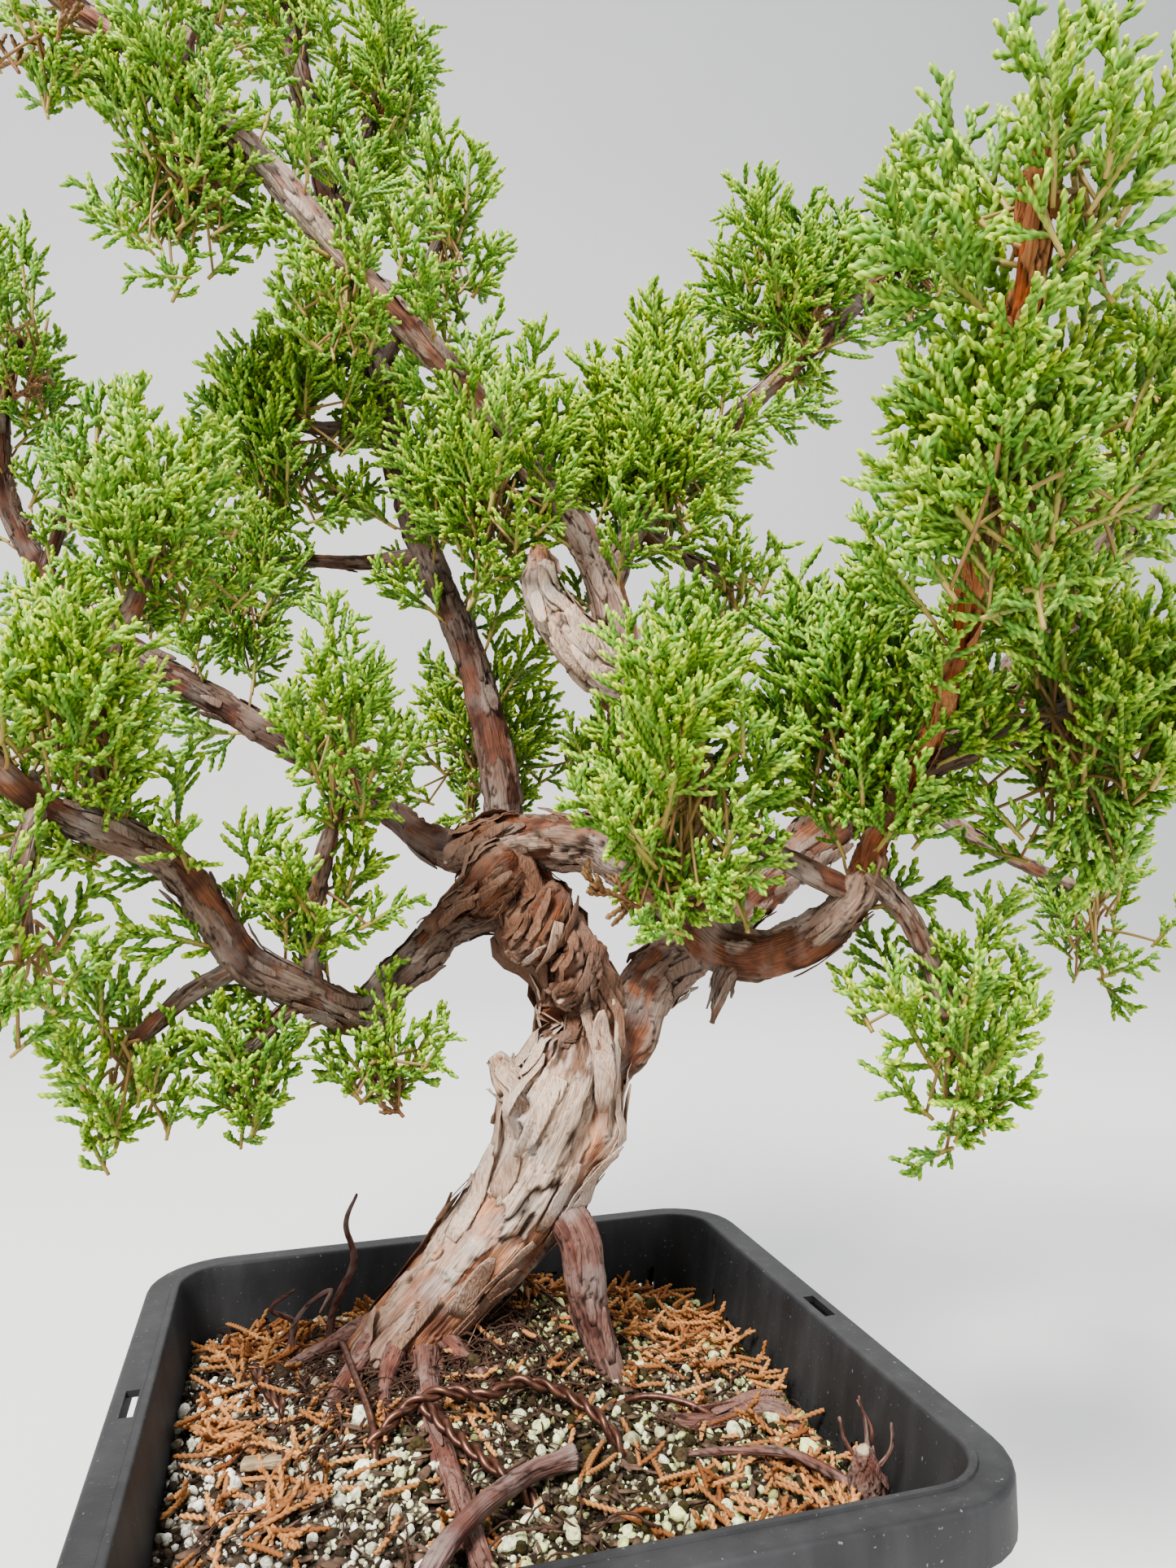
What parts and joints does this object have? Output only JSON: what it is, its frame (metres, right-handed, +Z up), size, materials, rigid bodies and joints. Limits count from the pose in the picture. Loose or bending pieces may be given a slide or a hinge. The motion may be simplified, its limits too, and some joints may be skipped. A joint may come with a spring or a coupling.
{
  "type": "potted juniper bonsai",
  "caption": "Scale-leaf juniper bonsai with a contorted flaky trunk and foliage pads, standing in a square black slotted training basket of pumice soil.",
  "frame": {"origin": "centre of the basket's flat bottom face", "axes": "+Z up, the basket's sides along X and Y, the viewed front towards -Y"},
  "size_m": [0.3536, 0.2564, 0.5062],
  "materials": {
    "black_plastic": "matte",
    "soil_mix": "matte",
    "bark": "matte",
    "root_bark": "matte",
    "dry_wood": "matte",
    "copper_wire": "satin",
    "juniper_foliage": "matte"
  },
  "bodies": {
    "root": {"anchor_wire_cross": "copper_wire", "anchor_wire_left_end": "copper_wire", "anchor_wire_left_leg": "copper_wire", "anchor_wire_right_leg": "copper_wire", "anchor_wire_tail": "copper_wire", "cut_root_stick": "dry_wood", "foliage_back_crown": "juniper_foliage", "foliage_back_left": "juniper_foliage", "foliage_back_low": "juniper_foliage", "foliage_back_low_right": "juniper_foliage", "foliage_back_right": "juniper_foliage", "foliage_back_top": "juniper_foliage", "foliage_back_upper": "juniper_foliage", "foliage_centre": "juniper_foliage", "foliage_centre_left": "juniper_foliage", "foliage_centre_right": "juniper_foliage", "foliage_far_left": "juniper_foliage", "foliage_far_left_low": "juniper_foliage", "foliage_front_crown": "juniper_foliage", "foliage_front_middle": "juniper_foliage", "foliage_front_tip": "juniper_foliage", "foliage_front_top": "juniper_foliage", "foliage_left_back": "juniper_foliage", "foliage_left_centre": "juniper_foliage", "foliage_left_edge": "juniper_foliage", "foliage_left_front": "juniper_foliage", "foliage_left_hanging": "juniper_foliage", "foliage_left_upper": "juniper_foliage", "foliage_left_upright": "juniper_foliage", "foliage_low_back_right": "juniper_foliage", "foliage_low_inner": "juniper_foliage", "foliage_low_middle": "juniper_foliage", "foliage_near_middle": "juniper_foliage", "foliage_near_top": "juniper_foliage", "foliage_right_crown": "juniper_foliage", "foliage_right_front": "juniper_foliage", "foliage_right_hanging": "juniper_foliage", "foliage_right_inner": "juniper_foliage", "foliage_right_outer": "juniper_foliage", "foliage_upper_right": "juniper_foliage", "foliage_upper_tip": "juniper_foliage", "leader_back": "bark", "leader_front": "bark", "limb_centre": "bark", "limb_far_left": "bark", "limb_left": "bark", "limb_right_back": "bark", "limb_right_front": "bark", "prop_root": "root_bark", "root_stump": "root_bark", "soil_bed": "soil_mix", "surface_root_front": "root_bark", "surface_root_right": "root_bark", "training_pot": "black_plastic", "trunk": "bark", "wood_chip": "dry_wood"}
  },
  "joints": []
}
